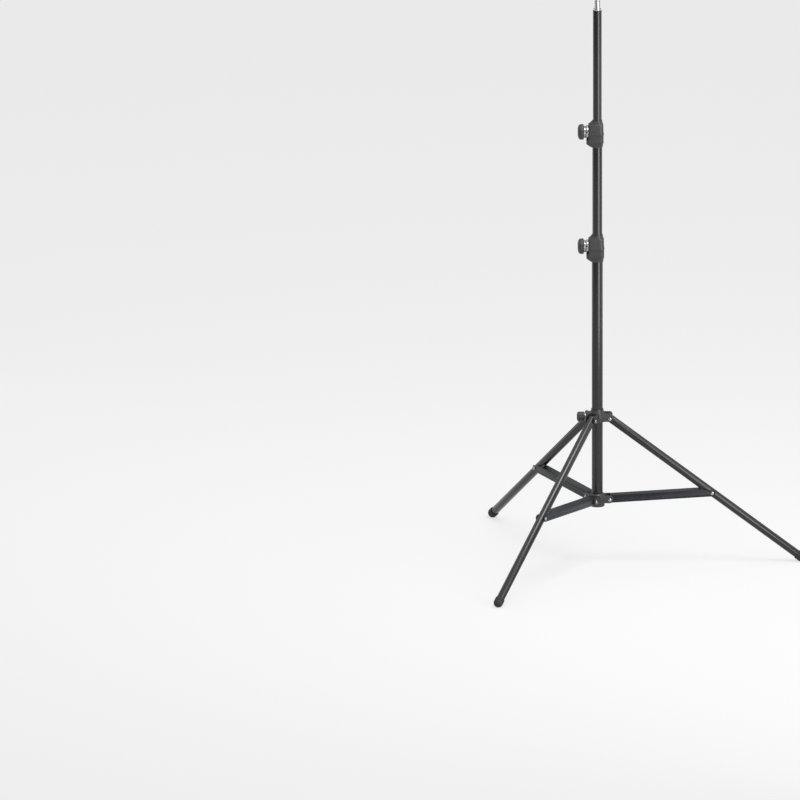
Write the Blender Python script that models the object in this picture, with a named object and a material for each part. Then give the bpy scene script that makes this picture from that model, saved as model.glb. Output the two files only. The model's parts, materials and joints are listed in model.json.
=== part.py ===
"""Light stand with a three-section column and three folding legs.

Metres, +Z up. The origin is on the column's axis, at the underside of the plug that closes the
column's foot. The stand is open, as it stands on a floor. One leg points along +X, the other two
are a third of a turn round, and the three knobs point along -X, between two legs.
"""
import math

import bmesh
import bpy
from mathutils import Matrix

# Column tubes: each slides in the one below with a running gap all round
BASE_TUBE_OD = 0.0300
TUBE_WALL = 0.0012
RUNNING_GAP = 0.0003
BASE_TUBE_TOP = 0.7215
MIDDLE_TUBE_TOP = 1.0430
MIDDLE_TUBE_LENGTH = 0.7000
TOP_TUBE_TOP = 1.3930
TOP_TUBE_LENGTH = 0.7290
TUBE_SIDES = 24

# Plugs in the lower ends of the tubes
PLUG_FLANGE = 0.0030
PLUG_STEM = 0.0120

# Spigot and the plug that carries it
SPIGOT_OD = 0.0160
SPIGOT_LENGTH = 0.0260
SPIGOT_TIP = 0.0030
SPIGOT_NECK = 0.0022
SPIGOT_NECK_OD = 0.0128
SPIGOT_CHAMFER = 0.0007
SPIGOT_FLANGE_OD = 0.0208
SPIGOT_FLANGE = 0.0045
SPIGOT_TANG_OD = 0.0100
SPIGOT_TANG = 0.0220
SPIGOT_SIDES = 20
CAP_FLANGE = 0.0018
CAP_STEM = 0.0300

# Collars that clamp one tube in the next
COLLAR_LENGTH = 0.0765
COLLAR_SEAT = 0.0330
COLLAR_WALL = 0.0036
COLLAR_LIP = 0.0011
COLLAR_SWELL = 0.0130
COLLAR_RIB = 0.0008
COLLAR_RIB_Z = 0.0375
COLLAR_RIB_HEIGHT = 0.0036
COLLAR_TAPER = 0.0008
COLLAR_SIDES = 24
COLLAR_CORNER = 0.0100
BOSS_CORNER = 0.0040
BOSS_REACH = 0.0243
BOSS_SHOULDER = 0.0635
BOSS_LEDGE_REACH = 0.0298
BOSS_LEDGE_TOP = 0.0222
BOSS_LEDGE_BOTTOM = 0.0100
CLAMP_AXIS = 0.0425

# Clamp screws: pressure pad, threaded insert, bright sleeve and fluted knob on one axis
SCREW_OD = 0.0060
PAD_OD = 0.0094
PAD_THICKNESS = 0.0024
INSERT_OD = 0.0110
INSERT_LENGTH = 0.0050
SLEEVE_OD = 0.0370
SLEEVE_LENGTH = 0.0122
SLEEVE_WAIST_OD = 0.0310
KNOB_OD = 0.0430
KNOB_LENGTH = 0.0165
KNOB_FLUTES = 9
KNOB_FLUTE_DEPTH = 0.0016
SCREW_GRIP = 0.0100
SCREW_HOLE_SIDES = 16
SLEEVE_SIDES = 20

# Leg triangle: pivot radius, pivot to pivot lengths, and how far apart the open hubs stand
PIVOT_RADIUS = 0.0340
UPPER_LEG = 0.3490
BRACE_LENGTH = 0.2790
HUB_SPREAD = 0.2270
LOWER_PIVOT_Z = 0.0210
LEG_COUNT = 3

# Leg tubes and their ends
LEG_OD = 0.0220
LEG_WALL = 0.0012
LEG_TO_FOOT = 0.6385
LEG_SIDES = 16
LEG_HEAD_RISE = 0.0060
LEG_HEAD_DOME = 0.0050
LEG_HEAD_STEM = 0.0200
FOOT_OD = 0.0260
FOOT_BALL = 0.0125
FOOT_STEM = 0.0160
FOOT_FLAT = 0.0008
FOOT_LIP = 0.0015

# Brace channels
SHEET = 0.0014
CHANNEL_SIDE_GAP = 0.0006
CHANNEL_SKIRT = 0.0086
WEB_END_AT_LEG = 0.0345
WEB_END_AT_HUB = 0.0020

# Rivets and hub pins
RIVET_OD = 0.0048
RIVET_HEAD_OD = 0.0094
RIVET_HEAD = 0.0022
RIVET_SIDES = 12

# Hubs: a sleeve round the base tube and three pairs of ears
HUB_SLEEVE_R = 0.0200
HUB_SIDES = 24
HUB_ARM_ROOT = 0.0030
HUB_SHOULDER = 0.0006
EAR = 0.0031
LOWER_EAR_UP = 0.0120
LOWER_EAR_DOWN = 0.0090
LOWER_SKIRT = 0.0170
LOWER_HUB_BOTTOM = 0.0010
UPPER_EAR_UP = 0.0155
UPPER_EAR_DOWN = 0.0078
UPPER_SKIRT = 0.0270
UPPER_HUB_BELOW = 0.0100
SKIRT_WALL = 0.0012

# Lock screw of the sliding hub
LOCK_RISE = 0.0040
LOCK_BOSS_OD = 0.0170
LOCK_BOSS_REACH = 0.0316
LOCK_WASHER_OD = 0.0200
LOCK_WASHER = 0.0028
LOCK_KNOB_OD = 0.0270
LOCK_KNOB_LENGTH = 0.0210
LOCK_KNOB_FLUTES = 10
LOCK_KNOB_FLUTE_DEPTH = 0.0011

# Sizes that follow from the ones above
BASE_R = BASE_TUBE_OD / 2
MIDDLE_R = BASE_R - TUBE_WALL - RUNNING_GAP
TOP_R = MIDDLE_R - TUBE_WALL - RUNNING_GAP
LEG_R = LEG_OD / 2
CHANNEL_INNER = LEG_R + CHANNEL_SIDE_GAP
CHANNEL_OUTER = CHANNEL_INNER + SHEET
WEB_TOP = CHANNEL_INNER + SHEET
UPPER_PIVOT_Z = LOWER_PIVOT_Z + HUB_SPREAD
BRACE_ANGLE = math.acos((HUB_SPREAD ** 2 + BRACE_LENGTH ** 2 - UPPER_LEG ** 2)
                        / (2 * HUB_SPREAD * BRACE_LENGTH))
LEG_ANGLE = math.asin(BRACE_LENGTH * math.sin(BRACE_ANGLE) / UPPER_LEG)
BASE_COLLAR_Z = BASE_TUBE_TOP - COLLAR_SEAT
MIDDLE_COLLAR_Z = MIDDLE_TUBE_TOP - COLLAR_SEAT


def clear_scene():
    """Removes the startup scene's objects."""
    for item in list(bpy.data.objects):
        bpy.data.objects.remove(item, do_unlink=True)


def material(name, colour, roughness, metallic):
    """A plain Principled material from an sRGB colour of 0 to 1."""
    made = bpy.data.materials.new(name)
    made.use_nodes = True
    shader = made.node_tree.nodes["Principled BSDF"]
    linear = [c / 12.92 if c <= 0.04045 else ((c + 0.055) / 1.055) ** 2.4 for c in colour]
    shader.inputs["Base Color"].default_value = (*linear, 1.0)
    shader.inputs["Roughness"].default_value = roughness
    shader.inputs["Metallic"].default_value = metallic
    made.diffuse_color = (*linear, 1.0)
    return made


def empty(name, parent=None, place=(0, 0, 0), turn=(0, 0, 0)):
    """A parent that sits on a joint's axis."""
    made = bpy.data.objects.new(name, None)
    made.empty_display_size = 0.02
    made.location = place
    made.rotation_euler = turn
    made.parent = parent
    bpy.context.collection.objects.link(made)
    return made


def piece(name, form, finish, parent=None, place=(0, 0, 0), turn=(0, 0, 0), sharp=32):
    """Links a bmesh as a named piece, shaded smooth but for edges sharper than the given angle."""
    bmesh.ops.recalc_face_normals(form, faces=form.faces)
    mesh = bpy.data.meshes.new(name)
    form.to_mesh(mesh)
    form.free()
    mesh.materials.append(finish)
    mesh.shade_smooth()
    mesh.set_sharp_from_angle(angle=math.radians(sharp))
    made = bpy.data.objects.new(name, mesh)
    made.location = place
    made.rotation_euler = turn
    made.parent = parent
    bpy.context.collection.objects.link(made)
    return made


def cutter(name, form, parent=None, place=(0, 0, 0), turn=(0, 0, 0)):
    """A body that only shapes another one."""
    bmesh.ops.recalc_face_normals(form, faces=form.faces)
    mesh = bpy.data.meshes.new(name)
    form.to_mesh(mesh)
    form.free()
    made = bpy.data.objects.new(name, mesh)
    made.location = place
    made.rotation_euler = turn
    made.parent = parent
    made.hide_render = True
    made.display_type = "WIRE"
    bpy.context.collection.objects.link(made)
    return made


def combine(target, other, operation):
    """Adds an exact Boolean of another body to a piece."""
    change = target.modifiers.new(other.name, "BOOLEAN")
    change.object = other
    change.operation = operation
    change.solver = "EXACT"


def arc(centre, radius, start, end, steps):
    """Points along an arc in degrees, both ends included."""
    points = []
    for step in range(steps + 1):
        angle = math.radians(start + (end - start) * step / steps)
        points.append((centre[0] + radius * math.cos(angle), centre[1] + radius * math.sin(angle)))
    return points


def turned(profile, sides, closed=False):
    """Spins (radius, height) points about Z. A closed profile gives a ring, and a flat end is one face."""
    form = bmesh.new()
    points = [form.verts.new((radius, 0, height)) for radius, height in profile]
    edges = [form.edges.new(pair) for pair in zip(points, points[1:])]
    if closed:
        edges.append(form.edges.new((points[-1], points[0])))
    bmesh.ops.spin(form, geom=points + edges, cent=(0, 0, 0), axis=(0, 0, 1), dvec=(0, 0, 0),
                   angle=2 * math.pi, steps=sides, use_duplicate=False, use_merge=True)
    bmesh.ops.remove_doubles(form, verts=form.verts, dist=1e-7)
    tips = [vert for vert in form.verts if vert.co.xy.length < 1e-7]
    flat = [tip for tip in tips if all(abs(edge.other_vert(tip).co.z - tip.co.z) < 1e-7
                                       for edge in tip.link_edges)]
    bmesh.ops.dissolve_verts(form, verts=flat)
    return form


def rod(radius, low, high, sides):
    """A plain round bar about Z."""
    return turned([(0, low), (radius, low), (radius, high), (0, high)], sides)


def pipe(outer, inner, low, high, sides):
    """A plain tube about Z."""
    profile = [(outer, low), (outer, high), (inner, high), (inner, low)]
    return turned(profile, sides, closed=True)


def extruded(outline, width):
    """An outline in the XZ plane given a width along Y, half to each side."""
    form = bmesh.new()
    face = form.faces.new([form.verts.new((x, -width / 2, z)) for x, z in outline])
    raised = bmesh.ops.extrude_face_region(form, geom=[face])
    moved = [item for item in raised["geom"] if isinstance(item, bmesh.types.BMVert)]
    bmesh.ops.translate(form, verts=moved, vec=(0, width, 0))
    return form


def joined(*forms):
    """Several bodies that don't touch, in one bmesh."""
    whole = bmesh.new()
    for form in forms:
        mesh = bpy.data.meshes.new("part of a cutter")
        form.to_mesh(mesh)
        form.free()
        whole.from_mesh(mesh)
        bpy.data.meshes.remove(mesh)
    return whole


def shifted(form, move=(0, 0, 0), turn=0.0, axis="Z"):
    """Turns a bmesh about an axis through the origin, then moves it."""
    bmesh.ops.rotate(form, verts=form.verts, cent=(0, 0, 0), matrix=Matrix.Rotation(turn, 3, axis))
    bmesh.ops.translate(form, verts=form.verts, vec=move)
    return form


def pivot_hole(half_length):
    """A rivet's hole through two walls, along Y, with its flats towards X and Z."""
    hole = rod(RIVET_OD / 2 + RUNNING_GAP, -half_length, half_length, RIVET_SIDES)
    return shifted(shifted(hole, turn=math.pi / RIVET_SIDES), turn=math.pi / 2, axis="X")


def tube_plug(name, tube_r, low, finish, parent):
    """A plug with a flange under the tube's end and a stem inside the tube."""
    stem_r = tube_r - TUBE_WALL - RUNNING_GAP
    rim = PLUG_FLANGE / 4
    profile = [(0, 0), (tube_r - rim, 0), (tube_r, rim), (tube_r, PLUG_FLANGE - RUNNING_GAP),
               (stem_r, PLUG_FLANGE - RUNNING_GAP), (stem_r, PLUG_FLANGE + PLUG_STEM),
               (0, PLUG_FLANGE + PLUG_STEM)]
    return piece(name, turned(profile, TUBE_SIDES), finish, parent, (0, 0, low))


def column_tube(name, tube_r, low, high, finish, parent):
    """One length of the column's tube."""
    form = pipe(tube_r, tube_r - TUBE_WALL, 0, high - low, TUBE_SIDES)
    return piece(name, form, finish, parent, (0, 0, low))


def spigot_profile():
    """The bright spigot: tang in the cap, flange, stud, neck and tip."""
    stud_r = SPIGOT_OD / 2
    neck_r = SPIGOT_NECK_OD / 2
    flange_r = SPIGOT_FLANGE_OD / 2
    top = SPIGOT_FLANGE + SPIGOT_LENGTH
    neck_top = top - SPIGOT_TIP
    neck_low = neck_top - SPIGOT_NECK
    edge = SPIGOT_CHAMFER
    return [(0, -SPIGOT_TANG), (SPIGOT_TANG_OD / 2, -SPIGOT_TANG), (SPIGOT_TANG_OD / 2, 0),
            (flange_r - edge, 0), (flange_r, edge), (flange_r, SPIGOT_FLANGE - edge),
            (flange_r - edge, SPIGOT_FLANGE), (stud_r, SPIGOT_FLANGE),
            (stud_r, neck_low - edge), (neck_r, neck_low), (neck_r, neck_top), (stud_r, neck_top + edge),
            (stud_r, top - edge), (stud_r - edge, top), (0, top)]


def spigot_and_cap(finishes, parent):
    """The cap in the top tube's upper end and the spigot that stands in it."""
    tang_hole = SPIGOT_TANG_OD / 2 + RUNNING_GAP
    stem_r = TOP_R - TUBE_WALL - RUNNING_GAP
    profile = [(TOP_R, RUNNING_GAP), (TOP_R, CAP_FLANGE - SPIGOT_CHAMFER),
               (TOP_R - SPIGOT_CHAMFER, CAP_FLANGE), (tang_hole, CAP_FLANGE),
               (tang_hole, -CAP_STEM), (stem_r, -CAP_STEM), (stem_r, RUNNING_GAP)]
    piece("spigot_cap", turned(profile, TUBE_SIDES, closed=True), finishes["plastic"], parent,
          (0, 0, TOP_TUBE_TOP))
    piece("spigot", turned(spigot_profile(), SPIGOT_SIDES), finishes["bright"], parent,
          (0, 0, TOP_TUBE_TOP + CAP_FLANGE + RUNNING_GAP))


def block_ring(height, left, right, half, roundness):
    """One level of a collar: a rectangle with rounded corners, or a circle where roundness is 1."""
    far = COLLAR_CORNER + (half - COLLAR_CORNER) * roundness
    near = BOSS_CORNER + (half - BOSS_CORNER) * roundness
    corners = ((right - far, half - far, far, 0), (left + near, half - near, near, 90),
               (left + near, near - half, near, 180), (right - far, far - half, far, 270))
    quarter = COLLAR_SIDES // 4
    ring = []
    for x, y, radius, start in corners:
        for step in range(quarter):
            angle = math.radians(start + 90 * (step + 0.5) / quarter)
            ring.append((x + radius * math.cos(angle), y + radius * math.sin(angle), height))
    return ring


def lofted(rings):
    """A closed solid through rings of points, from the lowest to the highest."""
    form = bmesh.new()
    loops = [[form.verts.new(point) for point in ring] for ring in rings]
    count = len(rings[0])
    for lower, upper in zip(loops, loops[1:]):
        for side in range(count):
            after = (side + 1) % count
            form.faces.new((lower[side], lower[after], upper[after], upper[side]))
    form.faces.new(loops[0])
    form.faces.new(loops[-1])
    return form


def collar_rings(outer_tube_r, inner_tube_r):
    """Levels of a collar: hollow foot, boss with its ledge, rib, shoulder and upper flare."""
    body = outer_tube_r + COLLAR_WALL
    slim = body - COLLAR_TAPER
    lip = outer_tube_r + RUNNING_GAP + COLLAR_LIP
    rim = inner_tube_r + RUNNING_GAP + COLLAR_LIP
    rib = body + COLLAR_RIB
    rib_low = COLLAR_RIB_Z - COLLAR_RIB_HEIGHT / 2
    rib_high = COLLAR_RIB_Z + COLLAR_RIB_HEIGHT / 2
    face = -BOSS_REACH
    ledge = -BOSS_LEDGE_REACH
    rings = []
    for height in (0, BOSS_LEDGE_BOTTOM * 0.2, BOSS_LEDGE_BOTTOM * 0.5, BOSS_LEDGE_BOTTOM, COLLAR_SWELL):
        jut = min(height / BOSS_LEDGE_BOTTOM, 1) ** 0.65
        swell = (height / COLLAR_SWELL) ** 2
        side = lip + (body - lip) * swell
        rings.append(block_ring(height, -lip + (ledge + lip) * jut, side, side, 1 - swell))
    rings += [block_ring(BOSS_LEDGE_TOP, ledge, body, body, 0),
              block_ring(BOSS_LEDGE_TOP + COLLAR_RIB, face, body, body, 0),
              block_ring(rib_low, face, body, body, 0),
              block_ring(rib_low + COLLAR_RIB, face, rib, rib, 0),
              block_ring(rib_high - COLLAR_RIB, face, rib, rib, 0),
              block_ring(rib_high, face, body, body, 0)]
    for share in (0, 0.3, 0.65, 1):
        side = rim + (slim - rim) * (1 - share) ** 2
        left = -rim + (face + rim) * (1 - share) ** 1.2
        height = BOSS_SHOULDER + (COLLAR_LENGTH - BOSS_SHOULDER) * share
        rings.append(block_ring(height, left, side, side, share ** 0.5))
    return rings


def collar(name, outer_tube_r, inner_tube_r, finish, parent, low):
    """A moulded collar with its tube bores and the stepped hole of its screw."""
    form = lofted(collar_rings(outer_tube_r, inner_tube_r))
    body = piece(name, form, finish, parent, (0, 0, low))
    low_bore = outer_tube_r + RUNNING_GAP
    high_bore = inner_tube_r + RUNNING_GAP
    bores = turned([(0, -COLLAR_WALL), (low_bore, -COLLAR_WALL), (low_bore, COLLAR_SEAT),
                    (high_bore, COLLAR_SEAT), (high_bore, COLLAR_LENGTH + COLLAR_WALL),
                    (0, COLLAR_LENGTH + COLLAR_WALL)], TUBE_SIDES)
    combine(body, cutter(name + "_bores", bores, parent, (0, 0, low)), "DIFFERENCE")
    pocket = screw_hole(inner_tube_r, BOSS_REACH)
    combine(body, cutter(name + "_screw_hole", pocket, parent, (0, 0, low + CLAMP_AXIS),
                         (0, -math.pi / 2, 0)), "DIFFERENCE")
    return body


def screw_hole(tube_r, face):
    """The stepped hole of a clamp screw, along +Z from the column's axis to the boss's face."""
    pad_r = PAD_OD / 2 + RUNNING_GAP
    pad_end = tube_r + 2 * RUNNING_GAP + PAD_THICKNESS
    screw_r = SCREW_OD / 2 + RUNNING_GAP
    insert_r = INSERT_OD / 2 + RUNNING_GAP
    insert_low = face - INSERT_LENGTH - RUNNING_GAP
    beyond = face + PAD_THICKNESS
    profile = [(0, tube_r / 2), (pad_r, tube_r / 2), (pad_r, pad_end), (screw_r, pad_end),
               (screw_r, insert_low), (insert_r, insert_low), (insert_r, beyond), (0, beyond)]
    return shifted(turned(profile, SCREW_HOLE_SIDES), turn=math.pi / SCREW_HOLE_SIDES)


def screw_stack(name, tube_r, face, sleeve, knob, finishes, fixed, moving):
    """Pad and insert on the fixed side, screw, bright sleeve and knob on the turning side."""
    pad_low = tube_r + RUNNING_GAP
    pad_high = pad_low + PAD_THICKNESS
    turn = (0, -math.pi / 2, 0)
    pad = rod(PAD_OD / 2, pad_low, pad_high, 16)
    piece(name + "_pad", pad, finishes["nylon"], fixed, turn=turn)
    screw_hole_r = SCREW_OD / 2 + RUNNING_GAP
    insert = pipe(INSERT_OD / 2, screw_hole_r, face - INSERT_LENGTH, face - RUNNING_GAP, 18)
    piece(name + "_insert", insert, finishes["brass"], fixed, turn=turn)
    sleeve_low = face + RUNNING_GAP
    sleeve_high = sleeve_low + sleeve["length"]
    knob_low = sleeve_high + RUNNING_GAP
    screw = rod(SCREW_OD / 2, pad_high + RUNNING_GAP, knob_low + SCREW_GRIP, 14)
    piece(name + "_screw", screw, finishes["steel"], moving, turn=turn)
    ring = sleeve["profile"](screw_hole_r, sleeve_low, sleeve_high)
    piece(name + "_sleeve", turned(ring, SLEEVE_SIDES, closed=True), finishes["bright"], moving, turn=turn)
    grip = fluted_knob(knob["od"] / 2, knob["length"], knob["flutes"], knob["depth"],
                       screw_hole_r, SCREW_GRIP + RUNNING_GAP)
    piece(name + "_knob", shifted(grip, (0, 0, knob_low)), finishes["plastic"], moving, turn=turn)


def clamp_sleeve(bore, low, high):
    """The clamp's bright sleeve: two rims with a waist between them."""
    rim = SLEEVE_OD / 2
    waist = SLEEVE_WAIST_OD / 2
    edge = SPIGOT_CHAMFER
    middle = low + (high - low) * 0.6
    return [(bore, low), (rim - edge, low), (rim, low + edge), (rim, middle - 3 * edge),
            (waist, middle), (rim - 2 * edge, middle + 3 * edge), (rim - 2 * edge, high - edge),
            (rim - 3 * edge, high), (bore, high)]


def lock_washer(bore, low, high):
    """The lock screw's plain washer."""
    rim = LOCK_WASHER_OD / 2
    edge = SPIGOT_CHAMFER
    return [(bore, low), (rim - edge, low), (rim, low + edge), (rim, high - edge), (rim - edge, high),
            (bore, high)]


def fluted_knob(radius, length, flutes, depth, bore, bore_depth):
    """A domed knob with flutes round its side and a blind bore, from Z 0 up."""
    per_flute = 4
    sides = flutes * per_flute
    dome = radius * 0.42
    rings = [(0.93, 0.0, 0.3), (1.0, length * 0.06, 1.0), (1.0, length - dome, 1.0)]
    for step in range(1, 4):
        angle = math.radians(24 * step)
        rings.append((math.cos(angle) ** 0.6, length - dome + dome * math.sin(angle), 1.0 - 0.25 * step))
    form = bmesh.new()
    loops = []
    for share, height, bite in rings:
        loop = []
        for side in range(sides):
            angle = 2 * math.pi * side / sides
            scallop = 0.5 + 0.5 * math.cos(angle * flutes)
            reach = radius * share - depth * bite * scallop
            loop.append(form.verts.new((reach * math.cos(angle), reach * math.sin(angle), height)))
        loops.append(loop)
    for lower, upper in zip(loops, loops[1:]):
        for side in range(sides):
            after = (side + 1) % sides
            form.faces.new((lower[side], lower[after], upper[after], upper[side]))
    tip = form.verts.new((0, 0, length))
    for side in range(sides):
        form.faces.new((loops[-1][side], loops[-1][(side + 1) % sides], tip))
    rim = [form.verts.new((bore * math.cos(2 * math.pi * side / sides),
                           bore * math.sin(2 * math.pi * side / sides), 0)) for side in range(sides)]
    floor = [form.verts.new((vert.co.x, vert.co.y, bore_depth)) for vert in rim]
    for side in range(sides):
        after = (side + 1) % sides
        form.faces.new((loops[0][after], loops[0][side], rim[side], rim[after]))
        form.faces.new((rim[after], rim[side], floor[side], floor[after]))
    form.faces.new(floor)
    return form


def ear_outline(up, down):
    """Side view of one arm of a hub, from inside the sleeve to the rounded end past the pivot."""
    root = HUB_ARM_ROOT
    end = arc((PIVOT_RADIUS, 0), down, -90, 0, 3)
    corner = arc((PIVOT_RADIUS, up - down), down, 0, 90, 3)
    return [(root, -down)] + end + corner + [(root, up)]


def hub_sleeve_profile(low, shoulder, skirt_top):
    """Section of a hub's sleeve: straight round the arms, then a hollow flare up the tube."""
    thin = BASE_R + RUNNING_GAP + SKIRT_WALL
    points = [(0, low), (HUB_SLEEVE_R - SKIRT_WALL, low), (HUB_SLEEVE_R, low + SKIRT_WALL),
              (HUB_SLEEVE_R, shoulder)]
    for step in range(1, 4):
        share = step / 3
        points.append((thin + (HUB_SLEEVE_R - thin) * (1 - share) ** 2,
                       shoulder + (skirt_top - shoulder) * share))
    return points + [(0, skirt_top)]


def hub(name, finish, parent, low, skirt_top, ears, slot_half):
    """A moulded hub about the column, its pivots level with the parent's origin."""
    up, down = ears
    form = turned(hub_sleeve_profile(low, up + HUB_SHOULDER, skirt_top), HUB_SIDES)
    body = piece(name, form, finish, parent)
    for number in range(LEG_COUNT):
        angle = 2 * math.pi * number / LEG_COUNT
        arm = extruded(ear_outline(up, down), 2 * (slot_half + EAR))
        combine(body, cutter(f"{name}_arm_{number + 1}", arm, parent, turn=(0, 0, angle)), "UNION")
    return body


def hub_cuts(body, name, parent, low, slot_half, floor_r, reach):
    """The bore, the slots between the ears and the pivot holes."""
    bore = rod(BASE_R + RUNNING_GAP, low - EAR, UPPER_SKIRT + EAR, HUB_SIDES)
    combine(body, cutter(name + "_bore", bore, parent), "DIFFERENCE")
    slots = []
    holes = []
    tall = UPPER_SKIRT + EAR
    for number in range(LEG_COUNT):
        angle = 2 * math.pi * number / LEG_COUNT
        outline = [(floor_r, low - EAR), (reach, low - EAR), (reach, tall), (floor_r, tall)]
        slots.append(shifted(extruded(outline, 2 * slot_half), turn=angle))
        hole = shifted(pivot_hole(slot_half + 2 * EAR), (PIVOT_RADIUS, 0, 0))
        holes.append(shifted(hole, turn=angle))
    combine(body, cutter(name + "_slots", joined(*slots), parent), "DIFFERENCE")
    combine(body, cutter(name + "_holes", joined(*holes), parent), "DIFFERENCE")


def lower_hub(finishes, parent):
    """The fixed hub at the column's foot, with the rivets the braces turn on."""
    low = LOWER_HUB_BOTTOM - LOWER_PIVOT_Z
    slot_half = CHANNEL_OUTER + RUNNING_GAP
    floor_r = PIVOT_RADIUS - math.hypot(WEB_TOP, WEB_END_AT_HUB) - RUNNING_GAP
    body = hub("lower_hub", finishes["plastic"], parent, low, LOWER_SKIRT,
               (LOWER_EAR_UP, LOWER_EAR_DOWN), slot_half)
    hub_cuts(body, "lower_hub", parent, low, slot_half, floor_r, PIVOT_RADIUS * 2)
    outer = slot_half + EAR + RUNNING_GAP
    for number in range(LEG_COUNT):
        arm = empty(f"lower_arm_{number + 1}", parent, turn=(0, 0, 2 * math.pi * number / LEG_COUNT))
        rivet = turned(rivet_profile(outer), RIVET_SIDES)
        piece(f"hub_rivet_{number + 1}", rivet, finishes["bright"], arm, (PIVOT_RADIUS, 0, 0),
              (math.pi / 2, 0, 0))


def rivet_half(low, face):
    """A pin with one domed head: flat end at low, head on a face."""
    shank = RIVET_OD / 2
    head = RIVET_HEAD_OD / 2
    return [(0, low), (shank, low), (shank, face), (head, face), (head, face + RIVET_HEAD * 0.45),
            (0, face + RIVET_HEAD)]


def rivet_profile(face):
    """A rivet with a domed head on each of two faces, the same distance from the middle."""
    half = rivet_half(0, face)[2:]
    return [(radius, -height) for radius, height in reversed(half)] + half


def upper_hub(finishes, parent, knob_parent):
    """The sliding hub with a pin for each leg in every ear, and its lock screw."""
    slot_half = LEG_R + RUNNING_GAP
    body = hub("upper_hub", finishes["plastic"], parent, -UPPER_HUB_BELOW, UPPER_SKIRT,
               (UPPER_EAR_UP, UPPER_EAR_DOWN), slot_half)
    lug = shifted(rod(LOCK_BOSS_OD / 2, BASE_R, LOCK_BOSS_REACH, 24), turn=math.pi / 24)
    lug = shifted(lug, (0, 0, LOCK_RISE), -math.pi / 2, "Y")
    combine(body, cutter("upper_hub_lug", lug, parent), "UNION")
    hub_cuts(body, "upper_hub", parent, -UPPER_HUB_BELOW, slot_half, HUB_SLEEVE_R + RUNNING_GAP,
             PIVOT_RADIUS * 2)
    hole = screw_hole(BASE_R, LOCK_BOSS_REACH)
    combine(body, cutter("upper_hub_screw_hole", hole, parent, (0, 0, LOCK_RISE),
                         (0, -math.pi / 2, 0)), "DIFFERENCE")
    for number in range(LEG_COUNT):
        arm = empty(f"upper_arm_{number + 1}", parent, turn=(0, 0, 2 * math.pi * number / LEG_COUNT))
        for side, sign in (("left", 1), ("right", -1)):
            pin = turned(rivet_half(slot_half, slot_half + EAR + RUNNING_GAP), RIVET_SIDES)
            piece(f"leg_pin_{number + 1}_{side}", pin, finishes["bright"], arm, (PIVOT_RADIUS, 0, 0),
                  (-sign * math.pi / 2, 0, 0))
    washer = {"length": LOCK_WASHER, "profile": lock_washer}
    knob = {"od": LOCK_KNOB_OD, "length": LOCK_KNOB_LENGTH, "flutes": LOCK_KNOB_FLUTES,
            "depth": LOCK_KNOB_FLUTE_DEPTH}
    fixed = empty("lock_axis_fixed", parent, (0, 0, LOCK_RISE))
    screw_stack("lock", BASE_R, LOCK_BOSS_REACH, washer, knob, finishes, fixed, knob_parent)


def channel_outline():
    """Side view of a brace: rounded about both pivots, full height along the web."""
    skirt = CHANNEL_SKIRT
    web_from = WEB_END_AT_HUB
    web_to = BRACE_LENGTH - WEB_END_AT_LEG
    hub_end = arc((0, 0), skirt, 270, 150, 5)
    leg_end = arc((BRACE_LENGTH, 0), skirt, 60, -90, 6)
    return hub_end + [(web_from, WEB_TOP), (web_to, WEB_TOP)] + leg_end


def channel_hollow_outline():
    """Side view of what is cut out between the flanges, with the web left along the middle."""
    below = -CHANNEL_SKIRT * 2
    above = WEB_TOP * 2
    past = BRACE_LENGTH + CHANNEL_SKIRT * 2
    web_from = WEB_END_AT_HUB
    web_to = BRACE_LENGTH - WEB_END_AT_LEG
    return [(-CHANNEL_SKIRT * 2, below), (past, below), (past, above), (web_to, above),
            (web_to, CHANNEL_INNER), (web_from, CHANNEL_INNER), (web_from, above),
            (-CHANNEL_SKIRT * 2, above)]


def brace(number, finishes, parent):
    """A brace channel from its hub pivot, along the parent's X, with the rivet at the leg."""
    lean = (0, -(math.pi / 2 - BRACE_ANGLE), 0)
    form = extruded(channel_outline(), 2 * CHANNEL_OUTER)
    body = piece(f"brace_{number}", form, finishes["black_metal"], parent, turn=lean)
    hollow = extruded(channel_hollow_outline(), 2 * CHANNEL_INNER)
    combine(body, cutter(f"brace_{number}_hollow", hollow, parent, turn=lean), "DIFFERENCE")
    near = pivot_hole(2 * CHANNEL_OUTER)
    far = shifted(pivot_hole(2 * CHANNEL_OUTER), (BRACE_LENGTH, 0, 0))
    combine(body, cutter(f"brace_{number}_holes", joined(near, far), parent, turn=lean), "DIFFERENCE")
    rivet = turned(rivet_profile(CHANNEL_OUTER + RUNNING_GAP), RIVET_SIDES)
    rivet = shifted(rivet, (BRACE_LENGTH, 0, 0), math.pi / 2, "X")
    piece(f"brace_rivet_{number}", rivet, finishes["bright"], parent, turn=lean)


def leg(number, finishes, parent):
    """A leg tube with its head plug and foot, about the brace's rivet, up the parent's Z."""
    lean = (0, -LEG_ANGLE, 0)
    head = UPPER_LEG + LEG_HEAD_RISE
    foot = UPPER_LEG - LEG_TO_FOOT
    tube = piece(f"leg_tube_{number}", pipe(LEG_R, LEG_R - LEG_WALL, foot, head, LEG_SIDES),
                 finishes["black_metal"], parent, turn=lean)
    combine(tube, cutter(f"leg_{number}_hole", pivot_hole(LEG_OD), parent, turn=lean), "DIFFERENCE")
    stem_r = LEG_R - LEG_WALL - RUNNING_GAP
    low = head - LEG_HEAD_STEM
    rim = head + RUNNING_GAP
    dome = [(radius, rim + height) for radius, height in dome_points(LEG_R, LEG_HEAD_DOME)]
    profile = [(0, low), (stem_r, low), (stem_r, rim)] + dome
    piece(f"leg_head_{number}", turned(profile, LEG_SIDES), finishes["plastic"], parent, turn=lean)
    rubber_foot(number, finishes["rubber"], parent, lean, foot)


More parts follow.
